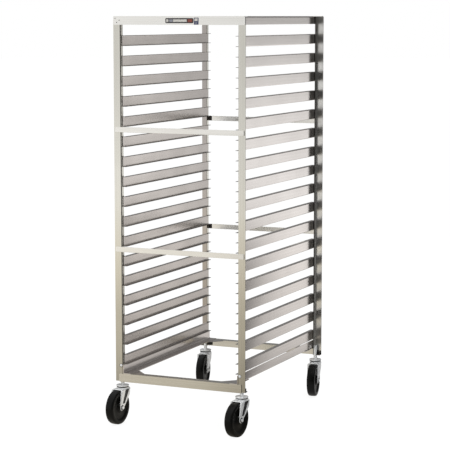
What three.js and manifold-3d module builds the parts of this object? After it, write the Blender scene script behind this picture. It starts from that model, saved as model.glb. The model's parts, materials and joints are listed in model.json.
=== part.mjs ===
// Mobile end-loading sheet pan rack: seventeen pairs of folded channel slides held by four
// folded corner posts, a welded angle frame at the top and the base, four flat tie bars and
// four swivel stem casters. Millimetres, +Z up, floor at Z = 0, pans load along Y.

import * as THREE from 'three';
import { mergeVertices } from 'three/addons/utils/BufferGeometryUtils.js';
import Module from 'manifold-3d';

const wasm = await Module();
wasm.setup();

// ---- driving dimensions -------------------------------------------------------------------

const GAP = 0.3; // clearance between faces that meet

const LEVELS = 17; // pairs of slides
const PITCH = 73.5; // height from one slide to the next
const TOP_SLIDE_Z = 1435; // top face of slide 1
const SLIDE_HEIGHT = 38.1;
const SLIDE_FLANGE = 13.5;
const SLIDE_SHEET = 1.5;
const SLIDE_LENGTH = 748;
const WEB_X = 232.5; // outer face of each slide's web, from the centre plane

const POST_SPAN_Y = 768; // front face of the front posts to rear face of the rear posts
const POST_WIDTH = 29;
const POST_LEG = 18;
const POST_SHEET = 1.8;
const POST_BOTTOM_Z = 158;
const END_PLATE = 3;
const END_PLATE_DEPTH = 26;
const RIVET_RADIUS = 4.5;
const RIVET_HEIGHT = 2;
const RIVET_Z = 217;
const RIVET_INSET = 7; // rivet centre to the post's inner edge

const ANGLE_SHEET = 2.5; // top and base frame angles
const ANGLE_HEIGHT = 31;
const ANGLE_LEG = 30;
const TOP_Z = 1504.5;
const TOP_BAR_HALF = 261;
const BASE_BAR_HALF = 247.5;
const BASE_BAR_BOTTOM_Z = 156;
const BASE_RAIL_HEIGHT = 32;
const BASE_RAIL_LEG = 32;
const GUSSET_LEG = 104;
const BAR_CORNER = 6;
const RAIL_STEP = 0.6; // side rails sit this much inside the faces of the cross angles

const TIE_HEIGHT = 19; // flat tie bars between levels
const TIE_HALF = 257;
const TIE_SHEET = 2.5;
const TIE_LEVELS = { upper: 5, lower: 11 }; // each tie bar starts under this slide

const STEM_X = 242;
const STEM_Y = 368.5;
const STEM_RADIUS = 7;
const STEM_TOP_Z = 197;
const TRAIL = 38; // stem axis to axle
const WHEEL_RADIUS = 63.5;
const WHEEL_HALF = 16;
const HUB_RADIUS = 20;
const HUB_HALF = 17;
const BORE_RADIUS = 5.7;
const AXLE_RADIUS = 5;
const FORK_INNER = 17.9; // half the width between the fork's cheeks
const FORK_SHEET = 3;
const CROWN_BOTTOM_Z = 128.2;
const CROWN_TOP_Z = 131.7;
const LOWER_RACE_TOP_Z = 137.2;
const RACE_RADIUS = 24;
const KINGPIN_RADIUS = 5;

const ROUND = 36; // facets of a wheel
const SMALL_ROUND = 20; // facets of a pin or a race
const BEND_STEPS = 2;

// ---- materials ----------------------------------------------------------------------------

const stainless = () => new THREE.MeshStandardMaterial({ color: 0xc4bfb4, roughness: 0.34, metalness: 1 });
const zinc = () => new THREE.MeshStandardMaterial({ color: 0xd6dadb, roughness: 0.18, metalness: 1 });
const phenolic = () => new THREE.MeshStandardMaterial({ color: 0x16150f, roughness: 0.3, metalness: 0 });

// ---- helpers ------------------------------------------------------------------------------

function toSolid(geometry) {
  const bare = geometry.clone();
  bare.deleteAttribute('normal');
  bare.deleteAttribute('uv');
  const merged = mergeVertices(bare, 1e-4);
  return new wasm.Manifold(new wasm.Mesh({
    numProp: 3,
    vertProperties: Float32Array.from(merged.attributes.position.array),
    triVerts: Uint32Array.from(merged.index.array),
  }));
}

function toGeometry(solid) {
  const mesh = solid.getMesh();
  const geometry = new THREE.BufferGeometry();
  geometry.setAttribute('position', new THREE.BufferAttribute(mesh.vertProperties, 3));
  geometry.setIndex(new THREE.BufferAttribute(mesh.triVerts, 1));
  geometry.computeVertexNormals();
  return geometry;
}

function join(...geometries) {
  return toGeometry(geometries.map(toSolid).reduce((whole, next) => whole.add(next)));
}

function cut(geometry, ...tools) {
  return toGeometry(tools.map(toSolid).reduce((rest, tool) => rest.subtract(tool), toSolid(geometry)));
}

function box(x0, x1, y0, y1, z0, z1) {
  const geometry = new THREE.BoxGeometry(x1 - x0, y1 - y0, z1 - z0);
  return geometry.translate((x0 + x1) / 2, (y0 + y1) / 2, (z0 + z1) / 2);
}

function rod(radius, z0, z1, segments = SMALL_ROUND) {
  const geometry = new THREE.CylinderGeometry(radius, radius, z1 - z0, segments);
  return geometry.rotateX(Math.PI / 2).translate(0, 0, (z0 + z1) / 2);
}

// Extrudes a shape so that its x, y and depth follow the three given world directions.
function extrude(shape, depth, xDir, yDir, zDir) {
  const geometry = new THREE.ExtrudeGeometry(shape, { depth, bevelEnabled: false, curveSegments: BEND_STEPS });
  const turn = new THREE.Matrix4().makeBasis(
    new THREE.Vector3(...xDir),
    new THREE.Vector3(...yDir),
    new THREE.Vector3(...zDir),
  );
  return geometry.applyMatrix4(turn);
}

// Turns a closed profile of [radius, height] points about the Z axis.
function turned(profile, segments) {
  const points = profile.map(([radius, height]) => new THREE.Vector2(radius, height));
  return new THREE.LatheGeometry(points, segments).rotateX(Math.PI / 2);
}

// A folded sheet channel: its web lies along u from 0 to width, its two legs rise along v.
// place(u, v) puts each point of the section where it belongs.
function channelShape(width, legA, legB, sheet, place) {
  const bend = 2 * sheet;
  const shape = new THREE.Shape();
  shape.moveTo(...place(0, legA));
  shape.lineTo(...place(0, bend));
  shape.quadraticCurveTo(...place(0, 0), ...place(bend, 0));
  shape.lineTo(...place(width - bend, 0));
  shape.quadraticCurveTo(...place(width, 0), ...place(width, bend));
  shape.lineTo(...place(width, legB));
  shape.lineTo(...place(width - sheet, legB));
  shape.lineTo(...place(width - sheet, sheet));
  shape.lineTo(...place(sheet, sheet));
  shape.lineTo(...place(sheet, legA));
  shape.closePath();
  return shape;
}

// A folded sheet angle with one leg along u and the other along v.
function angleShape(legU, legV, sheet, place) {
  const bend = 2 * sheet;
  const shape = new THREE.Shape();
  shape.moveTo(...place(legU, 0));
  shape.lineTo(...place(bend, 0));
  shape.quadraticCurveTo(...place(0, 0), ...place(0, bend));
  shape.lineTo(...place(0, legV));
  shape.lineTo(...place(sheet, legV));
  shape.lineTo(...place(sheet, sheet));
  shape.lineTo(...place(legU, sheet));
  shape.closePath();
  return shape;
}

function roundedRect(x0, x1, y0, y1, radius) {
  const shape = new THREE.Shape();
  shape.moveTo(x0 + radius, y0);
  shape.lineTo(x1 - radius, y0);
  shape.quadraticCurveTo(x1, y0, x1, y0 + radius);
  shape.lineTo(x1, y1 - radius);
  shape.quadraticCurveTo(x1, y1, x1 - radius, y1);
  shape.lineTo(x0 + radius, y1);
  shape.quadraticCurveTo(x0, y1, x0, y1 - radius);
  shape.lineTo(x0, y0 + radius);
  shape.quadraticCurveTo(x0, y0, x0 + radius, y0);
  return shape;
}

// A sheet that stands across the rack, facing the front or the rear, outside the posts.
function crossSheet(half, z0, z1, radius, sheet, end) {
  const face = POST_SPAN_Y / 2 + GAP;
  const shape = roundedRect(-half, half, z0, z1, radius);
  const geometry = extrude(shape, sheet, [1, 0, 0], [0, 0, 1], [0, -1, 0]);
  return geometry.translate(0, end > 0 ? face + sheet : -face, 0);
}

// ---- rack pieces --------------------------------------------------------------------------

// One C channel slide, both flanges pointing into the rack. side is -1 left, +1 right.
function slideGeometry(side, level) {
  const bottom = TOP_SLIDE_Z - (level - 1) * PITCH - SLIDE_HEIGHT;
  const place = (u, v) => [side * (WEB_X - v), bottom + u];
  const shape = channelShape(SLIDE_HEIGHT, SLIDE_FLANGE, SLIDE_FLANGE, SLIDE_SHEET, place);
  const geometry = extrude(shape, SLIDE_LENGTH, [1, 0, 0], [0, 0, 1], [0, -1, 0]);
  return geometry.translate(0, SLIDE_LENGTH / 2, 0);
}

// One corner post: a folded angle with a flat face to the front or rear and a leg that carries
// the slides, an end plate with the stem's hole, and a rivet head.
function postGeometry(side, end) {
  const inner = WEB_X + GAP;
  const face = POST_SPAN_Y / 2;
  const place = (u, v) => [side * (inner + u), end * (face - v)];
  const shape = angleShape(POST_WIDTH, POST_LEG, POST_SHEET, place);
  const topZ = TOP_Z - ANGLE_SHEET - GAP;
  const section = extrude(shape, topZ - POST_BOTTOM_Z, [1, 0, 0], [0, 1, 0], [0, 0, 1]);
  section.translate(0, 0, POST_BOTTOM_Z);
  const xs = [side * inner, side * (inner + POST_WIDTH)].sort((a, b) => a - b);
  const ys = [end * (face - POST_SHEET / 2), end * (face - END_PLATE_DEPTH)].sort((a, b) => a - b);
  const plate = box(...xs, ...ys, POST_BOTTOM_Z, POST_BOTTOM_Z + END_PLATE);
  const hole = rod(STEM_RADIUS + 2 * GAP, POST_BOTTOM_Z - 1, POST_BOTTOM_Z + END_PLATE + 1);
  hole.translate(side * STEM_X, end * STEM_Y, 0);
  const rivet = new THREE.CylinderGeometry(RIVET_RADIUS * 0.7, RIVET_RADIUS, RIVET_HEIGHT, 16);
  rivet.rotateX(end > 0 ? 0 : Math.PI);
  rivet.translate(side * (inner + RIVET_INSET), end * (face + RIVET_HEIGHT / 2 - 0.1), RIVET_Z);
  return cut(join(section, plate, rivet), hole);
}

// The welded top frame: front and rear angles over the posts, side angles between them.
function topFrameGeometry() {
  const face = POST_SPAN_Y / 2 + GAP;
  const bottomZ = TOP_Z - ANGLE_HEIGHT;
  const pieces = [];
  for (const end of [-1, 1]) {
    pieces.push(crossSheet(TOP_BAR_HALF, bottomZ, TOP_Z, BAR_CORNER, ANGLE_SHEET, end));
    const ys = [end * (face + ANGLE_SHEET / 2), end * (face + ANGLE_SHEET - ANGLE_LEG)];
    ys.sort((a, b) => a - b);
    const half = TOP_BAR_HALF - 1.5 * BAR_CORNER;
    pieces.push(box(-half, half, ...ys, TOP_Z - ANGLE_SHEET, TOP_Z));
  }
  for (const side of [-1, 1]) {
    const place = (u, v) => [side * (WEB_X - u), TOP_Z - RAIL_STEP - v];
    const shape = angleShape(ANGLE_LEG - 5, ANGLE_HEIGHT - 2 * RAIL_STEP, ANGLE_SHEET, place);
    const length = 2 * (face + RAIL_STEP);
    const rail = extrude(shape, length, [1, 0, 0], [0, 0, 1], [0, -1, 0]);
    pieces.push(rail.translate(0, length / 2, 0));
  }
  return join(...pieces);
}

// A triangular corner plate in the base frame.
function gussetGeometry(side, end, topZ) {
  const x = WEB_X - GAP;
  const y = POST_SPAN_Y / 2 + GAP + ANGLE_SHEET / 2;
  const shape = new THREE.Shape();
  shape.moveTo(side * x, end * y);
  shape.lineTo(side * (x - GUSSET_LEG), end * y);
  shape.lineTo(side * x, end * (y - GUSSET_LEG));
  shape.closePath();
  const plate = extrude(shape, ANGLE_SHEET, [1, 0, 0], [0, 1, 0], [0, 0, 1]);
  return plate.translate(0, 0, topZ - ANGLE_SHEET);
}

// The welded base frame: front and rear angles lapped on the posts, side angles laid on
// their inward legs, and a gusset in each corner.
function baseFrameGeometry() {
  const face = POST_SPAN_Y / 2 + GAP;
  const legTop = BASE_BAR_BOTTOM_Z + ANGLE_HEIGHT;
  const inside = WEB_X - GAP;
  const pieces = [];
  for (const end of [-1, 1]) {
    pieces.push(crossSheet(BASE_BAR_HALF, BASE_BAR_BOTTOM_Z, legTop, BAR_CORNER, ANGLE_SHEET, end));
    const ys = [end * (face + ANGLE_SHEET / 2), end * (face + ANGLE_SHEET - ANGLE_LEG)];
    ys.sort((a, b) => a - b);
    pieces.push(box(-inside, inside, ...ys, legTop - ANGLE_SHEET, legTop));
    for (const side of [-1, 1]) {
      pieces.push(gussetGeometry(side, end, legTop));
    }
  }
  for (const side of [-1, 1]) {
    const place = (u, v) => [side * (WEB_X - u), legTop - RAIL_STEP + v];
    const shape = angleShape(BASE_RAIL_LEG, BASE_RAIL_HEIGHT, ANGLE_SHEET, place);
    const length = 2 * (face + RAIL_STEP);
    const rail = extrude(shape, length, [1, 0, 0], [0, 0, 1], [0, -1, 0]);
    pieces.push(rail.translate(0, length / 2, 0));
  }
  return join(...pieces);
}

function tieBarGeometry(end, level) {
  const topZ = TOP_SLIDE_Z - (level - 1) * PITCH - SLIDE_HEIGHT;
  return crossSheet(TIE_HALF, topZ - TIE_HEIGHT, topZ, 3, TIE_SHEET, end);
}

// ---- caster pieces, round the stem's axis with the wheel trailing towards -Y ----------------

// The stem with its kingpin, rivet head and upper bearing race, one turned piece.
function stemGeometry() {
  const profile = [
    [0, 120],
    [8, 120],
    [9, 122],
    [7, 124.5],
    [KINGPIN_RADIUS, 124.5],
    [KINGPIN_RADIUS, LOWER_RACE_TOP_Z + GAP],
    [RACE_RADIUS - 1, LOWER_RACE_TOP_Z + GAP],
    [RACE_RADIUS, LOWER_RACE_TOP_Z + 1.5],
    [RACE_RADIUS, LOWER_RACE_TOP_Z + 4],
    [RACE_RADIUS - 4, LOWER_RACE_TOP_Z + 6.3],
    [STEM_RADIUS + 2, LOWER_RACE_TOP_Z + 7.3],
    [STEM_RADIUS, LOWER_RACE_TOP_Z + 9],
    [STEM_RADIUS, STEM_TOP_Z - 1.5],
    [STEM_RADIUS - 1.5, STEM_TOP_Z],
    [0, STEM_TOP_Z],
  ];
  return turned(profile, SMALL_ROUND);
}

function forkCheek(side) {
  const shape = new THREE.Shape();
  shape.moveTo(20, CROWN_TOP_Z);
  shape.lineTo(-38, CROWN_TOP_Z);
  shape.lineTo(-44, 118);
  shape.lineTo(-TRAIL - 11, WHEEL_RADIUS);
  shape.absarc(-TRAIL, WHEEL_RADIUS, 11, Math.PI, Math.PI * 1.8, false);
  shape.lineTo(17, 106);
  shape.closePath();
  const cheek = extrude(shape, FORK_SHEET, [0, 1, 0], [0, 0, 1], [1, 0, 0]);
  return cheek.translate(side > 0 ? FORK_INNER : -FORK_INNER - FORK_SHEET, 0, 0);
}

// The swivel fork: crown plate, lower bearing race and two tapered cheeks.
function forkGeometry() {
  const outer = FORK_INNER + FORK_SHEET;
  const outline = roundedRect(-outer, outer, -38, 22, 3);
  const crown = extrude(outline, CROWN_TOP_Z - CROWN_BOTTOM_Z, [1, 0, 0], [0, 1, 0], [0, 0, 1]);
  crown.translate(0, 0, CROWN_BOTTOM_Z);
  const race = turned([
    [0, CROWN_TOP_Z - 1],
    [RACE_RADIUS - 2, CROWN_TOP_Z - 1],
    [RACE_RADIUS - 1, CROWN_TOP_Z + 2],
    [RACE_RADIUS - 2, LOWER_RACE_TOP_Z],
    [0, LOWER_RACE_TOP_Z],
  ], SMALL_ROUND);
  const pinHole = rod(KINGPIN_RADIUS + 2 * GAP, CROWN_BOTTOM_Z - 1, LOWER_RACE_TOP_Z + 1);
  const axleHole = rod(AXLE_RADIUS + 2 * GAP, -30, 30).rotateY(Math.PI / 2);
  axleHole.translate(0, -TRAIL, WHEEL_RADIUS);
  return cut(join(crown, race, forkCheek(-1), forkCheek(1)), pinHole, axleHole);
}

// The axle bolt with a hexagon head at each end.
function axleGeometry() {
  const seat = FORK_INNER + FORK_SHEET + GAP;
  const shank = rod(AXLE_RADIUS, -seat - 1, seat + 1);
  const head = rod(8.6, seat, seat + 5, 6);
  const nut = rod(8.6, -seat - 5, -seat, 6);
  return join(shank, head, nut).rotateY(Math.PI / 2);
}

// The solid wheel: rounded tread, recessed web and a hub a little wider than the tread.
function wheelGeometry() {
  const half = [
    [BORE_RADIUS, HUB_HALF],
    [HUB_RADIUS - 2, HUB_HALF],
    [HUB_RADIUS, WHEEL_HALF - 5],
    [WHEEL_RADIUS - 17, WHEEL_HALF - 5],
    [WHEEL_RADIUS - 14, WHEEL_HALF],
    [WHEEL_RADIUS - 4, WHEEL_HALF],
    [WHEEL_RADIUS, WHEEL_HALF - 5],
  ];
  const upper = half.map(([radius, height]) => [radius, height]).reverse();
  const lower = half.map(([radius, height]) => [radius, -height]);
  const profile = [...lower, ...upper, lower[0]];
  return turned(profile, ROUND).rotateY(Math.PI / 2);
}

// ---- assembly -----------------------------------------------------------------------------

function named(name, geometry, material) {
  const mesh = new THREE.Mesh(geometry, material);
  mesh.name = name;
  return mesh;
}

// Swivel of each caster about its stem, in degrees, positive by the right-hand rule.
const CORNERS = [
  { name: 'front_left', side: -1, end: -1, swivel: -4 },
  { name: 'front_right', side: 1, end: -1, swivel: -7 },
  { name: 'rear_left', side: -1, end: 1, swivel: 10 },
  { name: 'rear_right', side: 1, end: 1, swivel: 10 },
];

const group = new THREE.Group();
const rack = new THREE.Group();
group.add(rack);

for (const [word, side] of [['left', -1], ['right', 1]]) {
  for (let level = 1; level <= LEVELS; level += 1) {
    const number = String(level).padStart(2, '0');
    rack.add(named(`slide_${word}_${number}`, slideGeometry(side, level), stainless()));
  }
}

rack.add(named('top_frame', topFrameGeometry(), stainless()));
rack.add(named('base_frame', baseFrameGeometry(), stainless()));

for (const [word, end] of [['front', -1], ['rear', 1]]) {
  for (const [height, level] of Object.entries(TIE_LEVELS)) {
    rack.add(named(`tie_bar_${word}_${height}`, tieBarGeometry(end, level), stainless()));
  }
}

for (const { name, side, end, swivel } of CORNERS) {
  rack.add(named(`post_${name}`, postGeometry(side, end), stainless()));
  const caster = new THREE.Group();
  caster.position.set(side * STEM_X, end * STEM_Y, 0);
  const turning = new THREE.Group();
  turning.rotation.z = THREE.MathUtils.degToRad(swivel);
  const axle = named(`caster_axle_${name}`, axleGeometry(), zinc());
  const wheel = named(`caster_wheel_${name}`, wheelGeometry(), phenolic());
  for (const piece of [axle, wheel]) {
    piece.position.set(0, -TRAIL, WHEEL_RADIUS);
  }
  turning.add(named(`caster_fork_${name}`, forkGeometry(), zinc()), axle, wheel);
  caster.add(named(`caster_stem_${name}`, stemGeometry(), zinc()), turning);
  rack.add(caster);
}

// The front casters trail past the posts, so the rack is moved back until its box is centred
// on the origin.
const bounds = new THREE.Box3().setFromObject(group, true);
rack.position.y = -(bounds.min.y + bounds.max.y) / 2;
rack.position.x = -(bounds.min.x + bounds.max.x) / 2;

export default group;
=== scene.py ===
"""Looks of the sheet pan rack: folded stainless sections, welds, stem casters and the studio."""

import json
import math

import bmesh
import bpy
from mathutils import Matrix, Vector


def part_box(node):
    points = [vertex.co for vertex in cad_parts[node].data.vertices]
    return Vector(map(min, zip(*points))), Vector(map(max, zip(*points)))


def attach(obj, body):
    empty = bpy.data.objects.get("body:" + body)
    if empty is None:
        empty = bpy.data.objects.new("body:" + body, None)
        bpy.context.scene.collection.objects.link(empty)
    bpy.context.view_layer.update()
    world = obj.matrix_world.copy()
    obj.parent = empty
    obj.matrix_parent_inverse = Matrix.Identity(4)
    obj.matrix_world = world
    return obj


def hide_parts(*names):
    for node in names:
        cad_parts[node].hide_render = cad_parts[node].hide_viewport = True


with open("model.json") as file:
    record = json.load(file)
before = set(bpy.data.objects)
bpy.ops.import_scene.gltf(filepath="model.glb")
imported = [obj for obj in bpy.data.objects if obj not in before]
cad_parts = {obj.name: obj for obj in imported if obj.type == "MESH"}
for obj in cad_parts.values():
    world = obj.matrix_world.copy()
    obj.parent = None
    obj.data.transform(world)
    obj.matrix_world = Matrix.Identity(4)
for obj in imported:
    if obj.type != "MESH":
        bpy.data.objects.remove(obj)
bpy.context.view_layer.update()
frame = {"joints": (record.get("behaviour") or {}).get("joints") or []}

# ---- dimensions in metres, as in the CAD part ------------------------------------------------

SLIDE_SHEET = 0.0015
POST_SHEET = 0.0018
POST_LEG = 0.018
POST_WIDTH = 0.029
FOOT_PLATE_DEPTH = 0.026
FOOT_PLATE_SHEET = 0.003
FOOT_PLATE_PAST_LEG = 0.002
SOCKET_WIDTH = 0.026
SOCKET_DEPTH = 0.0185
SOCKET_TOP = 0.013
RIVET_INSET = 0.007
RIVET_HEIGHT = 0.217
ANGLE_SHEET = 0.0025
TOP_ANGLE_LEG = 0.030
TOP_RAIL_LEG = 0.025
BASE_ANGLE_LEG = 0.030
BASE_RAIL_LEG = 0.032
GUSSET_LEG = 0.104
BAR_HEIGHT = 0.031
RAIL_STEP = 0.0006
GAP = 0.0003
SKIN = 0.00002
TRAIL = 0.038
WHEEL_RADIUS = 0.0635
FORK_HALF = 0.0209
FORK_INNER_HALF = 0.0179
FORK_TOP = 0.1317
FORK_CROWN = 0.1282
FORK_ARM_END = 0.045
RACE_TOP = 0.1372
AXLE_HEAD = 0.0062
SLIDE_LOW, SLIDE_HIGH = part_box("slide_left_01")
WEB_LEFT = SLIDE_LOW[0]
WEB_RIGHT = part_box("slide_right_01")[1][0]
MID_X = (WEB_LEFT + WEB_RIGHT) / 2
MID_Y = (SLIDE_LOW[1] + SLIDE_HIGH[1]) / 2
CORNERS = ("front_left", "front_right", "rear_left", "rear_right")
ENDS = ((-1, "front"), (1, "rear"))
SIDES = ((-1, "left", WEB_LEFT), (1, "right", WEB_RIGHT))
LEVELS = 17

# Steps of the folded outlines below: the faces inside the fold, and the cut edges of the sheet.
CHANNEL_INSIDE, CHANNEL_EDGES = range(14, 27), (13, 27)
ANGLE_INSIDE, ANGLE_EDGES = range(0, 7), (7, 15)
SMOOTH_ANGLE = 32
ON_AXIS = 1e-7


# ---- mesh helpers ----------------------------------------------------------------------------


def arc(cx, cy, radius, start, end, steps=5):
    """Points of an arc in degrees, ends included."""
    turn = [math.radians(start + (end - start) * i / steps) for i in range(steps + 1)]
    return [(cx + radius * math.cos(a), cy + radius * math.sin(a)) for a in turn]


def channel_outline(width, leg_a, leg_b, sheet):
    """A folded channel: web along u, legs along v, with round bends inside and out."""
    inner, outer = sheet, 2 * sheet
    points = [(0, leg_a)]
    points += arc(outer, outer, outer, 180, 270)
    points += arc(width - outer, outer, outer, 270, 360)
    points += [(width, leg_b), (width - sheet, leg_b)]
    points += arc(width - outer, outer, inner, 0, -90)
    points += arc(outer, outer, inner, 270, 180)
    points += [(sheet, leg_a)]
    return points


def angle_outline(leg_u, leg_v, sheet):
    """A folded angle: one leg along u, the other along v, with a round bend."""
    inner, outer = sheet, 2 * sheet
    points = [(leg_u, sheet)]
    points += arc(outer, outer, inner, 270, 180)
    points += [(sheet, leg_v), (0, leg_v)]
    points += arc(outer, outer, outer, 180, 270)
    points += [(leg_u, 0)]
    return points


def round_rect(x0, x1, y0, y1, radius, steps=6):
    """A rectangle with round corners."""
    points = arc(x1 - radius, y0 + radius, radius, 270, 360, steps)
    points += arc(x1 - radius, y1 - radius, radius, 0, 90, steps)
    points += arc(x0 + radius, y1 - radius, radius, 90, 180, steps)
    points += arc(x0 + radius, y0 + radius, radius, 180, 270, steps)
    return points


def finish_mesh(mesh, smooth_angle=SMOOTH_ANGLE):
    """Outward normals, and smooth shading with sharp edges kept."""
    bm = bmesh.new()
    bm.from_mesh(mesh)
    bmesh.ops.recalc_face_normals(bm, faces=bm.faces)
    bm.to_mesh(mesh)
    bm.free()
    mesh.shade_smooth()
    mesh.set_sharp_from_angle(angle=math.radians(smooth_angle))


def prism_mesh(name, outline, place, start, end, inside=(), edges=()):
    """Extrudes an outline of (u, v) along s; place(u, v, s) gives the point in the frame.

    The grain map holds the way across the sheet in u and the way along it in v. Faces whose
    outline step is in inside take material 1, those in edges and the two ends take material 2.
    """
    count = len(outline)
    verts = [place(u, v, start) for u, v in outline] + [place(u, v, end) for u, v in outline]
    faces = [(i, (i + 1) % count, (i + 1) % count + count, i + count) for i in range(count)]
    faces += [tuple(range(count)), tuple(range(count, 2 * count))]
    mesh = bpy.data.meshes.new(name)
    mesh.from_pydata(verts, [], faces)
    around = [0.0]
    for i in range(count):
        a, b = outline[i], outline[(i + 1) % count]
        around.append(around[-1] + math.dist(a, b))
    grain = mesh.uv_layers.new(name="grain")
    for polygon in mesh.polygons:
        cut = polygon.index >= count or polygon.index in edges
        polygon.material_index = 1 if polygon.index in inside else 2 if cut and edges else 0
        for corner, loop in zip(polygon.vertices, polygon.loop_indices):
            if polygon.index < count:
                step = polygon.index if corner % count == polygon.index else polygon.index + 1
                grain.data[loop].uv = (around[step], start if corner < count else end)
            else:
                grain.data[loop].uv = outline[corner % count][::-1]
    finish_mesh(mesh)
    return mesh


def lathe_mesh(name, profile, steps, smooth_angle=SMOOTH_ANGLE):
    """Turns a profile of (radius, height) about Z. Its ends lie on the axis or meet."""
    bm = bmesh.new()
    rings = []
    for radius, height in profile:
        if radius < ON_AXIS:
            rings.append([bm.verts.new((0, 0, height))])
            continue
        turn = [2 * math.pi * i / steps for i in range(steps)]
        ring = [(radius * math.cos(a), radius * math.sin(a), height) for a in turn]
        rings.append([bm.verts.new(point) for point in ring])
    closed = profile[0] != profile[-1] and profile[0][0] > ON_AXIS
    pairs = list(zip(rings, rings[1:])) + ([(rings[-1], rings[0])] if closed else [])
    for a, b in pairs:
        for i in range(steps):
            j = (i + 1) % steps
            quad = [a[i % len(a)], a[j % len(a)], b[j % len(b)], b[i % len(b)]]
            corners = list(dict.fromkeys(quad))
            if len(corners) > 2:
                bm.faces.new(corners)
    mesh = bpy.data.meshes.new(name)
    bm.to_mesh(mesh)
    bm.free()
    finish_mesh(mesh, smooth_angle)
    return mesh


def merged(name, meshes):
    """One mesh from several, each kept as its own closed shell."""
    bm = bmesh.new()
    bm.loops.layers.uv.new("grain")
    for mesh in meshes:
        bm.from_mesh(mesh)
    out = bpy.data.meshes.new(name)
    bm.to_mesh(out)
    bm.free()
    out.shade_smooth()
    out.set_sharp_from_angle(angle=math.radians(SMOOTH_ANGLE))
    return out


def piece(name, mesh, body, material, replaced=(), matrix=None):
    """An object that rides on a body, has one or more materials and may replace CAD nodes."""
    obj = bpy.data.objects.new(name, mesh)
    bpy.context.scene.collection.objects.link(obj)
    if matrix is not None:
        obj.matrix_world = matrix
    for one in material if isinstance(material, tuple) else (material,):
        mesh.materials.append(one)
    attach(obj, body)
    if replaced:
        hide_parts(*replaced)
    normals = obj.modifiers.new("flat_faces_stay_flat", "WEIGHTED_NORMAL")
    normals.keep_sharp = True
    return obj


def bevelled(obj, width, segments=2, angle=40):
    """Rounds the sharp edges of a piece."""
    bevel = obj.modifiers.new("edges", "BEVEL")
    bevel.width = width
    bevel.segments = segments
    bevel.limit_method = "ANGLE"
    bevel.angle_limit = math.radians(angle)
    bevel.harden_normals = False
    return obj


# ---- materials -------------------------------------------------------------------------------


class Nodes:
    """A short way to write a material's node tree."""

    def __init__(self, tree):
        self.tree = tree

    def add(self, kind, **values):
        node = self.tree.nodes.new(kind)
        for key, value in values.items():
            setattr(node, key, value)
        return node

    def link(self, source, target):
        self.tree.links.new(source, target)

    def noise(self, vector, scale, detail=3.0, roughness=0.5):
        node = self.add("ShaderNodeTexNoise")
        self.link(vector, node.inputs["Vector"])
        node.inputs["Scale"].default_value = scale
        node.inputs["Detail"].default_value = detail
        node.inputs["Roughness"].default_value = roughness
        return node.outputs["Fac"]

    def stretch(self, vector, scale):
        node = self.add("ShaderNodeMapping")
        self.link(vector, node.inputs["Vector"])
        node.inputs["Scale"].default_value = scale
        return node.outputs["Vector"]

    def spread(self, value, low, high, in_low=0.0, in_high=1.0):
        """Maps in_low..in_high to low..high."""
        node = self.add("ShaderNodeMapRange")
        self.link(value, node.inputs["Value"])
        node.inputs["From Min"].default_value = in_low
        node.inputs["From Max"].default_value = in_high
        node.inputs["To Min"].default_value = low
        node.inputs["To Max"].default_value = high
        return node.outputs["Result"]

    def blend(self, factor, first, second):
        node = self.add("ShaderNodeMix", data_type="RGBA")
        self.link(factor, node.inputs[0])
        for socket, value in ((node.inputs[6], first), (node.inputs[7], second)):
            if isinstance(value, tuple):
                socket.default_value = (*value, 1.0)
            else:
                self.link(value, socket)
        return node.outputs[2]

    def math(self, operation, *values):
        node = self.add("ShaderNodeMath", operation=operation)
        for socket, value in zip(node.inputs, values):
            if isinstance(value, (int, float)):
                socket.default_value = value
            else:
                self.link(value, socket)
        return node.outputs[0]

    def ramp(self, factor, stops):
        """Grey or coloured tones at the given places between 0 and 1."""
        node = self.add("ShaderNodeValToRGB")
        self.link(factor, node.inputs["Fac"])
        elements = node.color_ramp.elements
        while len(elements) < len(stops):
            elements.new(0.5)
        for element, (where, tone) in zip(elements, sorted(stops)):
            element.position = where
            element.color = (*(tone if isinstance(tone, tuple) else (tone,) * 3), 1.0)
        return node.outputs["Color"]

    def product(self, first, second):
        node = self.add("ShaderNodeMix", data_type="RGBA", blend_type="MULTIPLY")
        node.inputs[0].default_value = 1.0
        self.link(first, node.inputs[6])
        self.link(second, node.inputs[7])
        return node.outputs[2]

    def heading(self, x, y):
        """Turn from +Y towards +X, scaled so that -180..180 degrees is 0..1."""
        turn = self.math("ARCTAN2", x, y)
        return self.math("MULTIPLY_ADD", turn, 1 / (2 * math.pi), 0.5)

    def bump(self, height, strength, distance):
        node = self.add("ShaderNodeBump")
        self.link(height, node.inputs["Height"])
        node.inputs["Strength"].default_value = strength
        node.inputs["Distance"].default_value = distance
        return node.outputs["Normal"]


def new_material(name):
    material = bpy.data.materials.new(name)
    material.use_nodes = True
    nodes = Nodes(material.node_tree)
    shader = material.node_tree.nodes["Principled BSDF"]
    return material, nodes, shader


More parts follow.
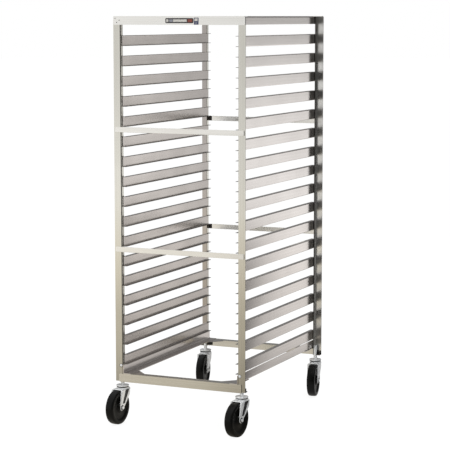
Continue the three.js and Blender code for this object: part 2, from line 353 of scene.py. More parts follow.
def stainless_material(name, light, dark, rough_low, rough_high, aniso, shade=None):
    """Rolled stainless sheet: fine grain along the piece, and broad faint unevenness.

    shade is (place, tone, place, tone): the tone changes evenly between two places along the
    piece. It is painted, and stands for what the real piece reflects there.
    """
    material, nodes, shader = new_material(name)
    grain_map = nodes.add("ShaderNodeUVMap", uv_map="grain").outputs["UV"]
    place = nodes.add("ShaderNodeTexCoord").outputs["Object"]
    scratches = nodes.noise(nodes.stretch(grain_map, (1600.0, 9.0, 1.0)), 1.0, 4.0, 0.6)
    streaks = nodes.noise(nodes.stretch(grain_map, (260.0, 2.0, 1.0)), 1.0, 2.0)
    clouds = nodes.noise(place, 7.0, 2.0)
    tone = nodes.spread(streaks, 0.0, 1.0, 0.3, 0.7)
    colour = nodes.blend(tone, dark, light)
    if shade:
        start, start_tone, end, end_tone = shade
        lengthwise = nodes.add("ShaderNodeSeparateXYZ")
        nodes.link(grain_map, lengthwise.inputs[0])
        way = nodes.spread(lengthwise.outputs["Y"], 0.0, 1.0, start, end)
        colour = nodes.product(colour, nodes.blend(way, (start_tone,) * 3, (end_tone,) * 3))
    nodes.link(colour, shader.inputs["Base Color"])
    shader.inputs["Metallic"].default_value = 1.0
    nodes.link(nodes.spread(clouds, rough_low, rough_high, 0.3, 0.7), shader.inputs["Roughness"])
    shader.inputs["Anisotropic"].default_value = aniso
    tangent = nodes.add("ShaderNodeTangent", direction_type="UV_MAP", uv_map="grain")
    nodes.link(tangent.outputs["Tangent"], shader.inputs["Tangent"])
    nodes.link(nodes.bump(scratches, 0.25, 0.00003), shader.inputs["Normal"])
    return material


def plated_material(name="zinc_plate", tone=1.0):
    """Bright zinc plate on pressed steel, a little uneven.

    A tone under 1 is painted darker, and stands for a dark reflection on the plate.
    """
    material, nodes, shader = new_material(name)
    place = nodes.add("ShaderNodeTexCoord").outputs["Object"]
    clouds = nodes.noise(place, 60.0, 3.0)
    plain = ((0.88, 0.90, 0.92), (0.97, 0.98, 0.98))
    dull, bright = [tuple(tone * part for part in colour) for colour in plain]
    nodes.link(nodes.blend(clouds, dull, bright), shader.inputs["Base Color"])
    shader.inputs["Metallic"].default_value = 0.35
    nodes.link(nodes.spread(clouds, 0.10, 0.24), shader.inputs["Roughness"])
    nodes.link(nodes.bump(nodes.noise(place, 190.0, 2.0), 0.12, 0.0004), shader.inputs["Normal"])
    return material


def wheel_material():
    """Moulded black resin: satin, with faint mottling and a fine speckled bump."""
    material, nodes, shader = new_material("wheel_phenolic")
    place = nodes.add("ShaderNodeTexCoord").outputs["Object"]
    speckle = nodes.noise(place, 420.0, 3.0)
    clouds = nodes.noise(place, 24.0, 2.0)
    colour = nodes.blend(speckle, (0.0015, 0.0015, 0.0015), (0.006, 0.006, 0.0055))
    nodes.link(colour, shader.inputs["Base Color"])
    nodes.link(nodes.spread(clouds, 0.22, 0.42, 0.3, 0.7), shader.inputs["Roughness"])
    shader.inputs["Specular IOR Level"].default_value = 0.16
    nodes.link(nodes.bump(speckle, 0.1, 0.0002), shader.inputs["Normal"])
    return material


def plate_material(name, dark, light, rough):
    """A satin painted or near-black surface, faintly mottled."""
    material, nodes, shader = new_material(name)
    place = nodes.add("ShaderNodeTexCoord").outputs["Object"]
    colour = nodes.blend(nodes.noise(place, 150.0, 2.0), dark, light)
    nodes.link(colour, shader.inputs["Base Color"])
    gloss = nodes.spread(nodes.noise(place, 90.0, 2.0), rough - 0.05, rough + 0.05)
    nodes.link(gloss, shader.inputs["Roughness"])
    return material


# One kind of steel, in five tones tuned piece by piece, and a dark steel for its cut edges. The
# differences in tone and tint between the five are painted light and shade, standing for how bright
# each piece's reflections look.
STEEL = stainless_material(
    "stainless", (0.82, 0.775, 0.745), (0.74, 0.695, 0.665), 0.15, 0.20, 0.6)
# Painted shade: the insides of the channels and of the left rear post are darker than the outer
# steel, and the slides darken further towards the rear.
INNER_STEEL_PAINTED_SHADE = stainless_material(
    "stainless_inner_painted_shade", (0.69, 0.64, 0.605), (0.62, 0.575, 0.54), 0.18, 0.24, 0.6,
    (MID_Y - 0.32, 1.04, MID_Y + 0.36, 0.74))
# Painted shade: the posts are darker below 0.42 m, and brighten up to 0.80 m.
POST_STEEL_PAINTED_SHADE = stainless_material(
    "stainless_post_painted_shade", (0.82, 0.80, 0.73), (0.74, 0.72, 0.65), 0.17, 0.22, 0.6,
    (0.42, 0.79, 0.80, 1.0))
FRAME_STEEL = stainless_material(
    "stainless_frame", (0.85, 0.825, 0.76), (0.77, 0.745, 0.68), 0.17, 0.22, 0.6)
# Dark steel, much darker than the sheet, for cut edges and ends, foot plates and spot welds; round
# each rivet it is a ring of painted shadow.
DARK_EDGE_AND_SHADOW_STEEL = stainless_material(
    "stainless_dark_edge_and_painted_shadow", (0.20, 0.185, 0.165), (0.14, 0.13, 0.115), 0.35, 0.45, 0.0)
BAR_STEEL = stainless_material(
    "stainless_bar", (0.97, 0.96, 0.93), (0.91, 0.90, 0.865), 0.24, 0.32, 0.5)
WELD = plated_material("weld_bead")
ZINC = plated_material()
# Painted dark reflection: near-black zinc for the rear slopes of the front casters' cheeks and for
# the axle washers.
ZINC_PAINTED_DARK = plated_material("zinc_painted_dark_reflection", 0.03)
RESIN = wheel_material()
# Near-black satin for small dark patches at the left rear corner.
NEAR_BLACK = plate_material("near_black_patch", (0.008, 0.007, 0.006), (0.03, 0.026, 0.022), 0.5)
LABEL_DARK = plate_material("label_dark", (0.02, 0.018, 0.02), (0.05, 0.045, 0.05), 0.4)
LABEL_LIGHT = plate_material("label_light", (0.62, 0.61, 0.58), (0.78, 0.77, 0.74), 0.4)
LABEL_GREY = plate_material("label_grey", (0.24, 0.25, 0.30), (0.36, 0.37, 0.42), 0.4)
LABEL_RED = plate_material("label_red", (0.20, 0.05, 0.035), (0.30, 0.08, 0.05), 0.4)
LABEL_BLUE = plate_material("label_blue", (0.03, 0.04, 0.10), (0.06, 0.07, 0.16), 0.4)


# ---- rack ------------------------------------------------------------------------------------


def make_slides():
    """Folded channels, with both flanges turned into the rack."""
    for side, word, _ in SIDES:
        for level in range(1, LEVELS + 1):
            node = f"slide_{word}_{level:02d}"
            low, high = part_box(node)
            web = low[0] if side < 0 else high[0]
            flange = high[0] - low[0]
            outline = channel_outline(high[2] - low[2], flange, flange, SLIDE_SHEET)

            def place(u, v, s, web=web, side=side, bottom=low[2]):
                return (web - side * v, s, bottom + u)

            name = f"channel_{word}_{level:02d}"
            mesh = prism_mesh(name, outline, place, low[1], high[1], CHANNEL_INSIDE, CHANNEL_EDGES)
            piece(name, mesh, "rack", (STEEL, INNER_STEEL_PAINTED_SHADE, DARK_EDGE_AND_SHADOW_STEEL), [node])


def make_posts():
    """Folded angles, each with a foot plate, a stem socket and a rivet near the foot, ringed by a
    dark ring of painted shadow.
    """
    outline = angle_outline(POST_WIDTH, POST_LEG, POST_SHEET)
    plate_depth = POST_LEG + FOOT_PLATE_PAST_LEG
    plate = [(POST_SHEET, POST_SHEET), (POST_WIDTH, POST_SHEET)]
    plate += [(POST_WIDTH, plate_depth), (POST_SHEET, plate_depth)]
    socket = [(POST_SHEET, POST_SHEET), (SOCKET_WIDTH, POST_SHEET)]
    socket += [(SOCKET_WIDTH, SOCKET_DEPTH), (POST_SHEET, SOCKET_DEPTH)]
    dome = [(0.0, 0.0024), (0.0024, 0.0022), (0.0043, 0.0016)]
    dome += [(0.0054, 0.0004), (0.0054, -0.0004), (0.0, -0.0004)]
    shadow_ring_profile = [(0.0050, 0.0003), (0.0068, 0.0003), (0.0070, -0.0004), (0.0050, -0.0004)]
    for corner in CORNERS:
        node = f"post_{corner}"
        low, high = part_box(node)
        side = 1 if corner.endswith("right") else -1
        end = 1 if corner.startswith("rear") else -1
        inner = low[0] if side > 0 else high[0]
        face = low[1] + FOOT_PLATE_DEPTH if end > 0 else high[1] - FOOT_PLATE_DEPTH

        def place(u, v, s, inner=inner, side=side, end=end, face=face):
            return (inner + side * u, face - end * v, s)

        mesh = prism_mesh(node, outline, place, low[2], high[2], ANGLE_INSIDE, ANGLE_EDGES)
        # The insides of the rear posts are painted: darker on the left as painted shade, brighter
        # on the right as painted light.
        within = {"rear_left": INNER_STEEL_PAINTED_SHADE, "rear_right": BAR_STEEL}.get(corner, POST_STEEL_PAINTED_SHADE)
        piece(f"folded_{node}", mesh, "rack", (POST_STEEL_PAINTED_SHADE, within, DARK_EDGE_AND_SHADOW_STEEL), [node])
        plate_top = low[2] + FOOT_PLATE_SHEET
        mesh = prism_mesh(f"foot_plate_{corner}", plate, place, low[2], plate_top)
        piece(f"foot_plate_{corner}", mesh, "rack", DARK_EDGE_AND_SHADOW_STEEL)
        name = f"stem_socket_{corner}"
        mesh = prism_mesh(name, socket, place, plate_top, low[2] + SOCKET_TOP)
        bevelled(piece(name, mesh, "rack", RESIN), 0.0008)
        spot = Vector((inner + side * RIVET_INSET, face, RIVET_HEIGHT))
        at = Matrix.Translation(spot) @ outward(end)
        rivet = lathe_mesh(f"rivet_{corner}", dome, 28, 60)
        # The dark ring round the rivet is painted shadow.
        ring = lathe_mesh(f"rivet_painted_shadow_ring_{corner}", shadow_ring_profile, 28, 60)
        piece(f"rivet_{corner}", rivet, "rack", WELD, matrix=at)
        piece(f"rivet_painted_shadow_ring_{corner}", ring, "rack", DARK_EDGE_AND_SHADOW_STEEL, matrix=at)


def outward(end):
    """Turns +Z to the front or the rear of the rack."""
    return Matrix.Rotation(math.radians(-90 if end > 0 else 90), 4, "X")


def cross_angle(name, low, high, end, top, half_leg):
    """An angle across the rack: an upright sheet with round corners and a leg turned inward."""
    face = high[1] - ANGLE_SHEET if end > 0 else low[1] + ANGLE_SHEET
    outer = high[1] if end > 0 else low[1]
    upright = round_rect(low[0], high[0], low[2], high[2], 0.005)
    depth = sorted((face, outer))
    sheet = prism_mesh(name + "_upright", upright, lambda u, v, s: (u, s, v), *depth)
    inward = outer - end * TOP_ANGLE_LEG
    leg_low, leg_high = top - ANGLE_SHEET, top - SKIN
    leg = [(inward, leg_low), (face, leg_low), (face, leg_high), (inward, leg_high)]
    reach = (-half_leg + MID_X, half_leg + MID_X)
    tongue = prism_mesh(name + "_leg", leg, lambda u, v, s: (s, u, v), *reach)
    return [sheet, tongue]


def make_top_frame():
    """Front and rear angles over the posts, and a folded rail along each side."""
    low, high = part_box("top_frame")
    bottom, top = low[2], high[2]
    for end, word in ENDS:
        name = f"top_angle_{word}"
        parts = cross_angle(f"top_{word}", low, high, end, top, high[0] - MID_X - 0.004)
        piece(name, merged(name, parts), "rack", BAR_STEEL, ["top_frame"])
    outline = angle_outline(TOP_RAIL_LEG, top - bottom - 2 * RAIL_STEP, ANGLE_SHEET)
    for side, word, web in SIDES:

        def place(u, v, s, web=web, side=side):
            return (web - side * u, s, top - RAIL_STEP - v)

        name = f"top_rail_{word}"
        mesh = prism_mesh(name, outline, place, low[1] + ANGLE_SHEET, high[1] - ANGLE_SHEET)
        piece(name, mesh, "rack", STEEL)


def make_spot_welds():
    """Three dark weld spots on one end of the front and rear top angles, over the posts."""
    low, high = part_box("top_frame")
    spot = [(0.0, 0.0005), (0.0016, 0.0004), (0.0023, -0.0003), (0.0, -0.0003)]
    insets_and_drops = ((0.0080, 0.0085), (0.0245, 0.0150), (0.0145, 0.0225))
    for corner, side, end in (("front_left", -1, -1), ("rear_right", 1, 1)):
        face = high[1] if end > 0 else low[1]
        outer = high[0] if side > 0 else low[0]
        for number, (inset, drop) in enumerate(insets_and_drops):
            mesh = lathe_mesh("spot_weld", spot, 20, 60)
            at = Matrix.Translation((outer - side * inset, face, high[2] - drop)) @ outward(end)
            name = f"spot_weld_{corner}_{number}"
            piece(name, mesh, "rack", DARK_EDGE_AND_SHADOW_STEEL, matrix=at)


def make_base_frame():
    """Front and rear angles, a folded rail along each side and a gusset in each corner."""
    low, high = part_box("base_frame")
    bar_top = low[2] + BAR_HEIGHT
    for end, word in ENDS:
        name = f"base_angle_{word}"
        bar_high = (high[0], high[1], bar_top)
        parts = cross_angle(f"base_{word}", low, bar_high, end, bar_top, WEB_RIGHT - MID_X)
        piece(name, merged(name, parts), "rack", FRAME_STEEL, ["base_frame"])
    outline = angle_outline(BASE_RAIL_LEG, high[2] - bar_top + RAIL_STEP, ANGLE_SHEET)
    for side, word, web in SIDES:

        def place(u, v, s, web=web, side=side):
            return (web - side * u, s, bar_top - RAIL_STEP + v)

        name = f"base_rail_{word}"
        mesh = prism_mesh(name, outline, place, low[1] + ANGLE_SHEET, high[1] - ANGLE_SHEET)
        piece(name, mesh, "rack", STEEL)
        for end, where in ENDS:
            name = f"gusset_{where}_{word}"
            edge = high[1] - ANGLE_SHEET if end > 0 else low[1] + ANGLE_SHEET
            corner = [(web, edge), (web - side * GUSSET_LEG, edge), (web, edge - end * GUSSET_LEG)]
            upright = (bar_top - ANGLE_SHEET, bar_top - 0.0001)
            mesh = prism_mesh(name, corner, lambda u, v, s: (u, v, s), *upright)
            piece(name, mesh, "rack", STEEL)


def make_tie_bars():
    """Flat bars across the front and rear posts."""
    for _, where in ENDS:
        for height in ("upper", "lower"):
            node = f"tie_bar_{where}_{height}"
            low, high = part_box(node)
            outline = round_rect(low[0], high[0], low[2], high[2], 0.0025)
            mesh = prism_mesh(f"flat_{node}", outline, lambda u, v, s: (u, s, v), low[1], high[1])
            bar = piece(f"flat_{node}", mesh, "rack", BAR_STEEL, [node])
            bevelled(bar, 0.0006)


def make_corner_patches():
    """Near-black patches where the rear bars meet the left rear post, on their inner faces."""

    def patch(word, outline, face):
        depth = (face - 0.0008, face + 0.0003)
        mesh = prism_mesh("corner_black_patch", outline, lambda u, v, s: (u, s, v), *depth)
        piece(f"corner_black_patch_{word}", mesh, "rack", NEAR_BLACK)

    for word in ("upper", "lower"):
        low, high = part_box(f"tie_bar_rear_{word}")
        inset = 0.0005
        outline = round_rect(WEB_LEFT, WEB_LEFT + 0.013, low[2] + inset, high[2] - inset, 0.002)
        patch(word, outline, low[1])
    low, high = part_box("base_frame")
    outline = round_rect(WEB_LEFT - 0.006, WEB_LEFT + 0.016, low[2] + 0.003, low[2] + 0.020, 0.003)
    patch("base", outline, high[1] - ANGLE_SHEET)


def make_labels():
    """Blank plates on the front top angle: a dark name plate and a small square one."""
    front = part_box("top_frame")[0][1]

    def plate(name, x0, x1, z0, z1, radius, depth, material):
        outline = round_rect(MID_X + x0, MID_X + x1, z0, z1, radius)
        mesh = prism_mesh(name, outline, lambda u, v, s: (u, s, v), front - depth, front + 0.0002)
        piece(name, mesh, "rack", material)

    plate("name_plate", -0.0498, 0.0605, 1.4795, 1.4975, 0.004, 0.0010, LABEL_DARK)
    plate("name_plate_spot", -0.0465, -0.0375, 1.4835, 1.4935, 0.003, 0.0013, LABEL_LIGHT)
    plate("name_plate_patch", -0.0345, -0.0205, 1.4840, 1.4930, 0.001, 0.0013, LABEL_GREY)
    plate("name_plate_band", -0.0190, 0.0345, 1.4840, 1.4930, 0.001, 0.0013, LABEL_LIGHT)
    plate("name_plate_mark", 0.0385, 0.0565, 1.4830, 1.4940, 0.002, 0.0013, LABEL_RED)
    plate("square_plate", 0.0630, 0.0805, 1.4745, 1.4990, 0.001, 0.0010, LABEL_BLUE)
    plate("square_plate_top", 0.0655, 0.0780, 1.4870, 1.4965, 0.0005, 0.0013, LABEL_LIGHT)
    plate("square_plate_strip", 0.0675, 0.0760, 1.4785, 1.4820, 0.0005, 0.0013, LABEL_GREY)


# ---- casters ---------------------------------------------------------------------------------


def fork_mesh():
    """The pressed fork: a side outline crossed with a round-shouldered U, cut out of one block."""
    side = [(0.021, FORK_TOP), (0.017, 0.106)]
    side += arc(-TRAIL, WHEEL_RADIUS, 0.011, -36, -180, 12)
    side += [(-TRAIL - 0.0115, 0.080), (-0.0445, 0.117), (-0.0400, FORK_TOP)]
    outer, inner, crown = FORK_HALF, FORK_INNER_HALF, FORK_CROWN
    bend, shoulder = 0.003, 0.006
    across = [(-outer, FORK_ARM_END), (-inner, FORK_ARM_END)]
    across += arc(-inner + bend, crown - bend, bend, 180, 90)
    across += arc(inner - bend, crown - bend, bend, 90, 0)
    across += [(inner, FORK_ARM_END), (outer, FORK_ARM_END)]
    across += arc(outer - shoulder, FORK_TOP - shoulder, shoulder, 0, 90, 8)
    across += arc(-outer + shoulder, FORK_TOP - shoulder, shoulder, 90, 180, 8)
    block = prism_mesh("fork_side", side, lambda u, v, s: (s, u, v), -0.03, 0.03)
    shape = prism_mesh("fork_across", across, lambda u, v, s: (u, s, v), -0.06, 0.03)
    kept = bpy.data.objects.new("fork_side", block)
    cutter = bpy.data.objects.new("fork_across", shape)
    for obj in (kept, cutter):
        bpy.context.scene.collection.objects.link(obj)
    cross = kept.modifiers.new("cross", "BOOLEAN")
    cross.operation = "INTERSECT"
    cross.solver = "EXACT"
    cross.object = cutter
    bpy.context.view_layer.update()
    graph = bpy.context.evaluated_depsgraph_get()
    mesh = bpy.data.meshes.new_from_object(kept.evaluated_get(graph))
    for obj in (kept, cutter):
        bpy.data.objects.remove(obj)
    finish_mesh(mesh)
    return mesh


def cheek_ribs(name, side):
    """The pressed cheek of the fork: slopes from its front and rear edges that meet in a valley."""
    base = FORK_HALF - GAP
    # Height, then front edge, valley and rear edge, then the rise of the front and rear edges.
    rows = [
        (0.1270, -0.0405, -0.0130, 0.0095, 0.0038, 0.0026),
        (0.0770, -0.0488, -0.0350, -0.0200, 0.0022, 0.0008),
    ]
    slopes = []
    for label in ("front", "rear"):
        verts = []
        for z, front, valley, rear, front_rise, rear_rise in rows:
            crest, rise = (front, front_rise) if label == "front" else (rear, rear_rise)
            verts += [
                (side * base, crest, z), (side * (base + rise), crest, z),
                (side * (base + 0.0004), valley, z), (side * base, valley, z),
            ]
        faces = [(0, 1, 2, 3), (7, 6, 5, 4)]
        faces += [(i, i + 4, (i + 1) % 4 + 4, (i + 1) % 4) for i in range(4)]
        mesh = bpy.data.meshes.new(f"{name}_{label}")
        mesh.from_pydata(verts, [], faces)
        finish_mesh(mesh)
        slopes.append((label, mesh))
    return slopes


def wheel_profile():
    """Half section from the bore out to the tread and back."""
    upper = [(0.0057, 0.0170), (0.0150, 0.0170), (0.0166, 0.0163), (0.0180, 0.0145)]
    upper += [(0.0192, 0.0118), (0.0215, 0.0106), (0.0300, 0.0102), (0.0420, 0.0104)]
    upper += [(0.0460, 0.0118), (0.0478, 0.0146), (0.0496, 0.0157), (0.0540, 0.0160)]
    upper += [(0.0590, 0.0156), (0.0618, 0.0138), (0.0631, 0.0104), (WHEEL_RADIUS, 0.0050)]
    return upper + [(radius, -height) for radius, height in reversed(upper)]


def bolt_head(flat, low, high):
    """A hexagon head, a little narrower at its top."""
    bm = bmesh.new()
    bmesh.ops.create_cone(
        bm, cap_ends=True, segments=6, radius1=flat, radius2=flat * 0.97, depth=high - low)
    bmesh.ops.translate(bm, verts=bm.verts, vec=(0, 0, (high + low) / 2))
    mesh = bpy.data.meshes.new("hex")
    bm.to_mesh(mesh)
    bm.free()
    finish_mesh(mesh)
    return mesh


def make_casters():
    """Stem with upper race, fork with lower race, axle bolt and wheel, at each corner."""
    joints = {joint["name"]: joint for joint in frame["joints"]}
    base = RACE_TOP + GAP
    stem = [(0.0, 0.1202), (0.0060, 0.1204), (0.0084, 0.1214), (0.0088, 0.1228)]
    stem += [(0.0070, 0.1244), (0.0050, 0.1246), (0.0050, base), (0.0225, base)]
    stem += [(0.0234, base + 0.0004), (0.0240, base + 0.0014), (0.0240, base + 0.0034)]
    stem += [(0.0234, base + 0.0044), (0.0215, base + 0.0050), (0.0185, base + 0.0052)]
    stem += [(0.0165, base + 0.0062), (0.0110, base + 0.0070), (0.0085, base + 0.0078)]
    stem += [(0.0073, base + 0.0092), (0.0070, base + 0.0110), (0.0070, 0.1945)]
    stem += [(0.0058, 0.1966), (0.0, 0.1966)]
    race = [(0.0056, 0.1318), (0.0215, 0.1318), (0.0228, 0.1321), (0.0230, 0.1326)]
    race += [(0.0230, 0.1334), (0.0226, 0.1337), (0.0210, 0.1338), (0.0056, 0.1338)]
    seal = [(0.0056, 0.1339), (0.0216, 0.1339), (0.0221, 0.1343)]
    seal += [(0.0221, 0.1367), (0.0216, 0.1371), (0.0056, 0.1371)]
    seat = FORK_HALF + GAP
    shank_end = seat + 0.001
    shank = [(0.0, -shank_end), (0.0050, -shank_end), (0.0050, shank_end), (0.0, shank_end)]
    washer = [(0.0, seat), (0.0092, seat), (0.0094, seat + 0.0002)]
    washer += [(0.0094, seat + 0.0010), (0.0, seat + 0.0010)]
    washer_far = [(radius, -height) for radius, height in washer]
    fork = fork_mesh()
    for corner in CORNERS:
        swivel, roll = joints[f"swivel_{corner}"], joints[f"roll_{corner}"]
        stem_at = Matrix.Translation((swivel["pos_m"][0], swivel["pos_m"][1], 0))
        heading = Matrix.Rotation(math.atan2(roll["axis"][1], roll["axis"][0]), 4, "Z")
        turned = stem_at @ heading
        sideways = Matrix.Rotation(math.pi / 2, 4, "Y")
        on_axle = Matrix.Translation(Vector(roll["pos_m"])) @ heading @ sideways
        body = f"fork_{corner}"

        mesh = lathe_mesh(f"stem_{corner}", stem, 48, 40)
        node = f"caster_stem_{corner}"
        piece(f"stem_and_race_{corner}", mesh, "rack", ZINC, [node], stem_at)

        name, node = f"pressed_fork_{corner}", f"caster_fork_{corner}"
        bevelled(piece(name, fork.copy(), body, ZINC, [node], turned), 0.0007)
        for side, word, _ in SIDES:
            for label, mesh in cheek_ribs("cheek_rib", side):
                # On the front casters the rear slopes are painted near-black: a painted dark
                # reflection.
                dark = label == "rear" and corner.startswith("front")
                name = f"cheek_rib_{label}_{word}_{corner}"
                finish = ZINC_PAINTED_DARK if dark else ZINC
                bevelled(piece(name, mesh, body, finish, matrix=turned), 0.0004)

        name = f"lower_race_{corner}"
        mesh = lathe_mesh(name, race, 48, 40)
        piece(name, mesh, body, ZINC, matrix=turned)
        name = f"race_seal_{corner}"
        mesh = lathe_mesh(name, seal, 48, 40)
        piece(name, mesh, body, RESIN, matrix=turned)

        bolt = merged(f"bolt_{corner}", [
            lathe_mesh("shank", shank, 24),
            bolt_head(AXLE_HEAD, seat + 0.0010, seat + 0.0052),
            bolt_head(AXLE_HEAD, -seat - 0.0054, -seat - 0.0010),
        ])
        node = f"caster_axle_{corner}"
        piece(f"axle_bolt_{corner}", bolt, body, ZINC, [node], on_axle)
        # The washers are painted near-black: a painted dark reflection.
        washers = merged(f"washers_{corner}", [
            lathe_mesh("washer", washer, 32), lathe_mesh("washer_far", washer_far, 32)])
        piece(f"axle_washers_{corner}", washers, body, ZINC_PAINTED_DARK, matrix=on_axle)

        name, node = f"wheel_{corner}", f"caster_wheel_{corner}"
        mesh = lathe_mesh(name, wheel_profile(), 96, 40)
        piece(f"{name}_solid", mesh, name, RESIN, [node], on_axle)


# ---- studio ----------------------------------------------------------------------------------


# The camera sees a plain white floor and background. Reflections don't: they see the painted tones
# below, set so that the steel's bright and dark patches look right from the camera's side. This is
# not a plain studio.
FLOOR_GLOW = 0.92
FLOOR_PAPER = (0.16, 0.16, 0.16, 1.0)
FLOOR_HALF_SIZE = 200.0
FLOOR_DROP = 0.0005
# Tone of the floor in reflections, by r / (r + FLOOR_REACH), with r the distance from the rack.
FLOOR_REACH = 4.0
FLOOR_BY_DISTANCE = [
    (0.0, 0.66), (0.10, 0.60), (0.184, 0.47), (0.24, 0.59), (0.33, 0.74), (0.42, 0.80),
    (0.5, 0.95), (0.667, 1.08), (0.80, 0.98), (0.90, 0.86), (0.97, 0.74), (1.0, 0.66),
]
# The same by heading from the point (FLOOR_CENTRE_X, 0), in degrees from +Y towards +X: near the
# rack, with dark patches behind and to the right, and far away. It changes between NEAR_ENDS.
FLOOR_CENTRE_X = 0.34
NEAR_BY_HEADING = [
    (-180, (0.58, 0.52, 0.42)), (-165, (0.70, 0.64, 0.53)), (-157, (0.81, 0.75, 0.63)),
    (-150, (1.02, 0.95, 0.81)), (-90, (1.05, 1.0, 0.90)), (-30, (1.03, 1.0, 0.97)),
    (21.2, (1.06, 1.04, 1.02)), (24.0, 0.02), (60, 0.04), (80, 0.4), (125, 0.3), (138, 0.08),
    (146, 0.03), (170, 0.03), (178, 0.35), (180, (0.60, 0.54, 0.44)),
]
FAR_BY_HEADING = [
    (-180, 0.45), (-165, 0.60), (-157, 0.76), (-152, 1.0), (-60, 0.7), (0, 0.5), (15, 0.5),
    (19, 1.0), (30, 1.0), (34, 0.08), (60, 0.05), (120, 0.05), (138, 0.03), (170, 0.03),
    (178, 0.3), (180, 0.45),
]
NEAR_ENDS = (4.2, 7.8)
# Tone of the walls by heading, close to the horizon and above it, and of the ceiling.
LOW_WALLS = [
    (-180, 0.4), (-170, 0.65), (-158, 0.80), (-110, 0.8), (-70, 0.6), (-40, 0.45), (0, 0.3),
    (15, 0.3), (19, 0.45), (30, 0.45), (34, 0.06), (60, 0.05), (120, 0.05), (136, 0.03),
    (144, 0.010), (170, 0.010), (178, 0.3), (180, 0.4),
]
HIGH_WALLS = [
    (-180, 0.3), (-165, 0.75), (-110, 0.8), (-70, 0.4), (-40, 0.22), (0, 0.20), (30, 0.20),
    (60, 0.10), (120, 0.08), (144, 0.02), (168, 0.02), (180, 0.3),
]
LOW_ENDS = (0.02, 0.12)
CEILING = (0.9, 0.9, 0.9)
CEILING_STARTS = (0.6, 0.85)

CAMERA_OFFSET = (2.642, -5.8865, 1.5057)
CAMERA_TILT = 7.019
CAMERA_TURN = 24.085
FOCAL_LENGTH = 135.95
SENSOR_WIDTH = 36.0
CLIP_END = 60.0


def make_camera():
    data = bpy.data.cameras.new("camera")
    data.sensor_width = SENSOR_WIDTH
    data.lens = FOCAL_LENGTH
    data.clip_end = CLIP_END
    obj = bpy.data.objects.new("camera", data)
    bpy.context.scene.collection.objects.link(obj)
    obj.location = (MID_X + CAMERA_OFFSET[0], MID_Y + CAMERA_OFFSET[1], CAMERA_OFFSET[2])
    obj.rotation_euler = (math.radians(90 - CAMERA_TILT), 0.0, math.radians(CAMERA_TURN))
    bpy.context.scene.camera = obj


def by_heading(stops):
    """Ramp stops from (degrees from +Y towards +X, tone)."""
    return [((degrees + 180) / 360, tone) for degrees, tone in stops]


def make_floor():
    """White paper to the camera. Reflections see its tone change with distance and heading."""
    mesh = bpy.data.meshes.new("floor")
    size = FLOOR_HALF_SIZE
    corners = [(-size, -size, 0), (size, -size, 0), (size, size, 0), (-size, size, 0)]
    mesh.from_pydata(corners, [], [(0, 1, 2, 3)])
    floor = bpy.data.objects.new("floor", mesh)
    bpy.context.scene.collection.objects.link(floor)
    floor.location.z = -FLOOR_DROP
    material = bpy.data.materials.new("floor")
    material.use_nodes = True
    nodes = Nodes(material.node_tree)
    material.node_tree.nodes.clear()
    paper = nodes.add("ShaderNodeBsdfDiffuse")
    paper.inputs["Color"].default_value = FLOOR_PAPER
    glow = nodes.add("ShaderNodeEmission")
    glow.inputs["Strength"].default_value = FLOOR_GLOW
    seen = nodes.add("ShaderNodeAddShader")
    nodes.link(paper.outputs[0], seen.inputs[0])
    nodes.link(glow.outputs[0], seen.inputs[1])
    place = nodes.add("ShaderNodeSeparateXYZ")
    nodes.link(nodes.add("ShaderNodeNewGeometry").outputs["Position"], place.inputs[0])
    x, y = place.outputs["X"], place.outputs["Y"]
    squares = nodes.math("ADD", nodes.math("MULTIPLY", x, x), nodes.math("MULTIPLY", y, y))
    away = nodes.math("SQRT", squares)
    share = nodes.math("DIVIDE", away, nodes.math("ADD", away, FLOOR_REACH))
    by_distance = nodes.ramp(share, FLOOR_BY_DISTANCE)
    heading = nodes.heading(nodes.math("SUBTRACT", x, FLOOR_CENTRE_X), y)
    near = nodes.ramp(heading, by_heading(NEAR_BY_HEADING))
    far = nodes.ramp(heading, by_heading(FAR_BY_HEADING))
    around = nodes.blend(nodes.spread(away, 0.0, 1.0, *NEAR_ENDS), near, far)
    mirrored = nodes.add("ShaderNodeEmission")
    nodes.link(nodes.product(by_distance, around), mirrored.inputs["Color"])
    pick = nodes.add("ShaderNodeMixShader")
    nodes.link(nodes.add("ShaderNodeLightPath").outputs["Is Camera Ray"], pick.inputs[0])
    nodes.link(mirrored.outputs[0], pick.inputs[1])
    nodes.link(seen.outputs[0], pick.inputs[2])
    nodes.link(pick.outputs[0], nodes.add("ShaderNodeOutputMaterial").inputs["Surface"])
    mesh.materials.append(material)


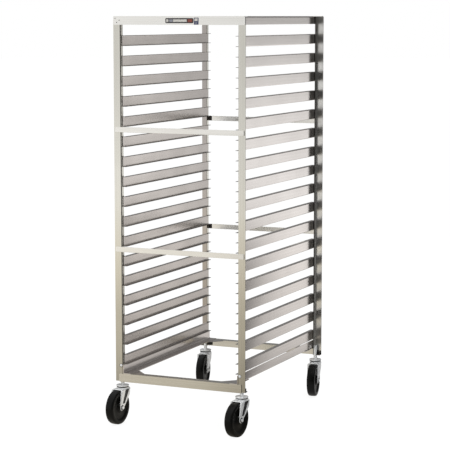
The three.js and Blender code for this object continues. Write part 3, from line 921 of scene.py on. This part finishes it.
def make_world():
    """White to the camera. Reflections see a dim room with a bright ceiling."""
    world = bpy.data.worlds.new("studio")
    bpy.context.scene.world = world
    world.use_nodes = True
    nodes = Nodes(world.node_tree)
    world.node_tree.nodes.clear()
    seen = nodes.add("ShaderNodeBackground")
    seen.inputs["Color"].default_value = (1.0, 1.0, 1.0, 1.0)
    way = nodes.add("ShaderNodeSeparateXYZ")
    nodes.link(nodes.add("ShaderNodeTexCoord").outputs["Generated"], way.inputs[0])
    heading = nodes.heading(way.outputs["X"], way.outputs["Y"])
    low = nodes.ramp(heading, by_heading(LOW_WALLS))
    high = nodes.ramp(heading, by_heading(HIGH_WALLS))
    walls = nodes.blend(nodes.spread(way.outputs["Z"], 0.0, 1.0, *LOW_ENDS), low, high)
    around = nodes.add("ShaderNodeBackground")
    upward = nodes.spread(way.outputs["Z"], 0.0, 1.0, *CEILING_STARTS)
    nodes.link(nodes.blend(upward, walls, CEILING), around.inputs["Color"])
    path = nodes.add("ShaderNodeLightPath")
    pick = nodes.add("ShaderNodeMixShader")
    nodes.link(path.outputs["Is Camera Ray"], pick.inputs[0])
    nodes.link(around.outputs[0], pick.inputs[1])
    nodes.link(seen.outputs[0], pick.inputs[2])
    nodes.link(pick.outputs[0], nodes.add("ShaderNodeOutputWorld").inputs["Surface"])


def make_light(name, centre, size, rotation, power):
    """An area light that neither the camera nor reflections see."""
    data = bpy.data.lights.new(name, "AREA")
    data.shape = "RECTANGLE"
    data.size, data.size_y = size
    data.energy = power
    obj = bpy.data.objects.new(name, data)
    bpy.context.scene.collection.objects.link(obj)
    obj.location = centre
    obj.rotation_euler = [math.radians(a) for a in rotation]
    obj.visible_camera = False
    obj.visible_glossy = False


make_camera()
make_slides()
make_posts()
make_top_frame()
make_spot_welds()
make_base_frame()
make_tie_bars()
make_corner_patches()
make_labels()
make_casters()
make_floor()
make_world()
make_light("overhead", (0.0, 0.0, 4.0), (4.0, 4.0), (0.0, 0.0, 0.0), 60)
make_light("low_fill", (MID_X + 1.6, MID_Y - 1.9, 0.7), (1.2, 0.8), (75.2, 0.0, 41.4), 27)
bpy.context.scene.view_settings.view_transform = "Standard"
